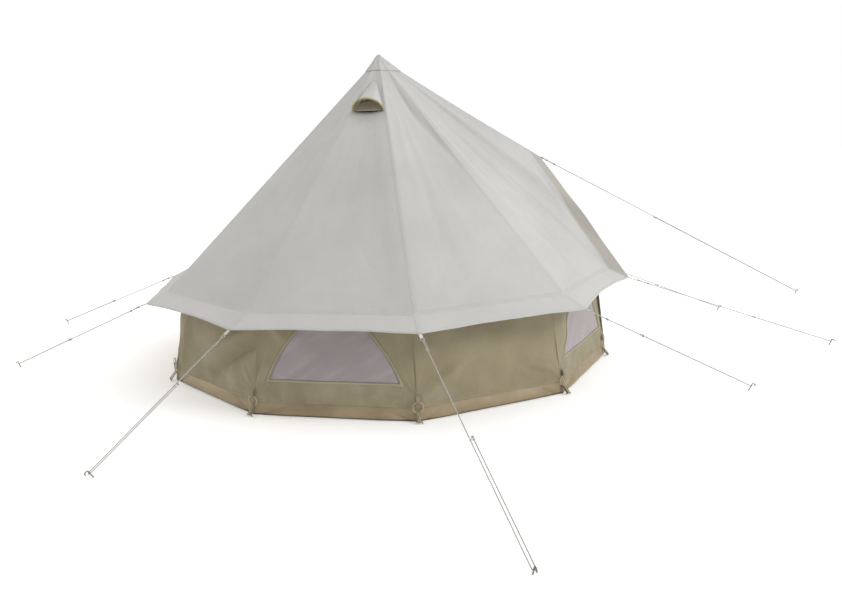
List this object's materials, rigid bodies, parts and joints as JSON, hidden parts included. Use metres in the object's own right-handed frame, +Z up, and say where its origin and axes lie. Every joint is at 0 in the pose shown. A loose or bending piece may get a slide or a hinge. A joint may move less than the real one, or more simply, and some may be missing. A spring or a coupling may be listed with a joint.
{
  "type": "bell tent",
  "caption": "Ten-sided canvas bell tent with a centre pole, low walls, mesh windows, hooded vents, an A-frame door and adjustable guy ropes.",
  "frame": {"origin": "middle of the floor on the ground, on the centre pole's axis", "axes": "+Z up, +X straight out of the door, +Y to the right of someone facing the door from outside"},
  "size_m": [9.8572, 8.7899, 3.005],
  "materials": {
    "roof_canvas": "matte",
    "wall_canvas": "matte",
    "vent_binding": "matte",
    "mesh": "matte",
    "groundsheet": "satin",
    "pole_steel": "satin",
    "foot_rubber": "matte",
    "tip_plastic": "matte",
    "webbing": "matte",
    "ring_metal": "satin",
    "ring_plastic": "matte",
    "peg_steel": "satin",
    "rope": "matte",
    "runner_aluminium": "satin",
    "zip_metal": "satin"
  },
  "bodies": {
    "tent": {"apex_cap": "roof_canvas", "door_frame_elbow": "pole_steel", "door_frame_feet": "foot_rubber", "door_frame_leg_left": "pole_steel", "door_frame_leg_right": "pole_steel", "door_roof_panels": "roof_canvas", "door_side_panels": "wall_canvas", "door_sill": "groundsheet", "eave_overhangs": "roof_canvas", "eave_rings": "ring_metal", "eave_tabs": "webbing", "gable_flaps": "roof_canvas", "groundsheet_floor": "groundsheet", "groundsheet_lip": "groundsheet", "guy_pegs": "peg_steel", "guy_rope_1": "rope", "guy_rope_10": "rope", "guy_rope_11": "rope", "guy_rope_2": "rope", "guy_rope_3": "rope", "guy_rope_4": "rope", "guy_rope_5": "rope", "guy_rope_6": "rope", "guy_rope_7": "rope", "guy_rope_8": "rope", "guy_rope_9": "rope", "plain_wall_panels": "wall_canvas", "pole_foot": "foot_rubber", "pole_lower": "pole_steel", "pole_middle": "pole_steel", "pole_tip": "tip_plastic", "pole_upper": "pole_steel", "roof_panels": "roof_canvas", "vent_hoods": "vent_binding", "vent_meshes": "mesh", "vent_roof_panels": "roof_canvas", "wall_peg_hangers": "webbing", "wall_peg_rings": "ring_plastic", "wall_peg_straps": "webbing", "wall_pegs": "peg_steel", "window_meshes": "mesh", "window_wall_panels": "wall_canvas"},
    "window_flap_1": {"window_flap_1": "wall_canvas"},
    "window_flap_2": {"window_flap_2": "wall_canvas"},
    "window_flap_3": {"window_flap_3": "wall_canvas"},
    "window_flap_4": {"window_flap_4": "wall_canvas"},
    "door_leaf_left": {"door_leaf_left": "wall_canvas"},
    "door_leaf_right": {"door_leaf_right": "wall_canvas"},
    "door_zip_slider": {"door_zip_slider": "zip_metal"},
    "guy_runner_1": {"guy_runner_1": "runner_aluminium"},
    "guy_runner_2": {"guy_runner_2": "runner_aluminium"},
    "guy_runner_3": {"guy_runner_3": "runner_aluminium"},
    "guy_runner_4": {"guy_runner_4": "runner_aluminium"},
    "guy_runner_5": {"guy_runner_5": "runner_aluminium"},
    "guy_runner_6": {"guy_runner_6": "runner_aluminium"},
    "guy_runner_7": {"guy_runner_7": "runner_aluminium"},
    "guy_runner_8": {"guy_runner_8": "runner_aluminium"},
    "guy_runner_9": {"guy_runner_9": "runner_aluminium"},
    "guy_runner_10": {"guy_runner_10": "runner_aluminium"},
    "guy_runner_11": {"guy_runner_11": "runner_aluminium"}
  },
  "joints": [
    {"name": "window_flap_1_lift", "type": "hinge", "parent": "tent", "child": "window_flap_1", "pos_m": [1.73098, 1.25763, 0.29124], "axis": [-0.5878, 0.809, 0], "range_deg": [0, 118]},
    {"name": "window_flap_2_lift", "type": "hinge", "parent": "tent", "child": "window_flap_2", "pos_m": [-0.66118, 2.03489, 0.29124], "axis": [-0.9511, -0.309, 0], "range_deg": [0, 118]},
    {"name": "window_flap_3_lift", "type": "hinge", "parent": "tent", "child": "window_flap_3", "pos_m": [-0.66118, -2.03489, 0.29124], "axis": [0.9511, -0.309, 0], "range_deg": [0, 118]},
    {"name": "window_flap_4_lift", "type": "hinge", "parent": "tent", "child": "window_flap_4", "pos_m": [1.73098, -1.25763, 0.29124], "axis": [0.5878, 0.809, 0], "range_deg": [0, 118]},
    {"name": "door_left_swing", "type": "hinge", "parent": "tent", "child": "door_leaf_left", "pos_m": [2.18743, -0.71074, 0], "axis": [0.2819, -0.3143, -0.9065], "range_deg": [0, 105]},
    {"name": "door_right_swing", "type": "hinge", "parent": "tent", "child": "door_leaf_right", "pos_m": [2.18743, 0.71074, 0], "axis": [-0.2819, -0.3143, 0.9065], "range_deg": [0, 105]},
    {"name": "door_zip_slide", "type": "slide", "parent": "door_leaf_left", "child": "door_zip_slider", "axis": [-0.2969, 0, 0.9549], "range_m": [0, 1.85]},
    {"name": "guy_runner_1_slide", "type": "slide", "parent": "tent", "child": "guy_runner_1", "axis": [0.9396, -0.087, -0.3309], "range_m": [0, 0.3]},
    {"name": "guy_runner_2_slide", "type": "slide", "parent": "tent", "child": "guy_runner_2", "axis": [0.9281, -0.0062, -0.3723], "range_m": [0, 0.3]},
    {"name": "guy_runner_3_slide", "type": "slide", "parent": "tent", "child": "guy_runner_3", "axis": [0.9019, 0.1727, -0.396], "range_m": [0, 0.3]},
    {"name": "guy_runner_4_slide", "type": "slide", "parent": "tent", "child": "guy_runner_4", "axis": [0.0825, 0.9071, -0.4128], "range_m": [0, 0.3]},
    {"name": "guy_runner_5_slide", "type": "slide", "parent": "tent", "child": "guy_runner_5", "axis": [-0.6274, 0.6127, -0.4806], "range_m": [0, 0.3]},
    {"name": "guy_runner_6_slide", "type": "slide", "parent": "tent", "child": "guy_runner_6", "axis": [-0.7353, 0.595, -0.3244], "range_m": [0, 0.3]},
    {"name": "guy_runner_7_slide", "type": "slide", "parent": "tent", "child": "guy_runner_7", "axis": [-0.8067, 0.4522, -0.3805], "range_m": [0, 0.3]},
    {"name": "guy_runner_8_slide", "type": "slide", "parent": "tent", "child": "guy_runner_8", "axis": [-0.6305, -0.5953, -0.4981], "range_m": [0, 0.3]},
    {"name": "guy_runner_9_slide", "type": "slide", "parent": "tent", "child": "guy_runner_9", "axis": [0.1212, -0.9336, -0.3371], "range_m": [0, 0.3]},
    {"name": "guy_runner_10_slide", "type": "slide", "parent": "tent", "child": "guy_runner_10", "axis": [0.8903, -0.0586, -0.4516], "range_m": [0, 0.3]},
    {"name": "guy_runner_11_slide", "type": "slide", "parent": "tent", "child": "guy_runner_11", "axis": [0.8597, 0.3014, -0.4123], "range_m": [0, 0.3]}
  ]
}
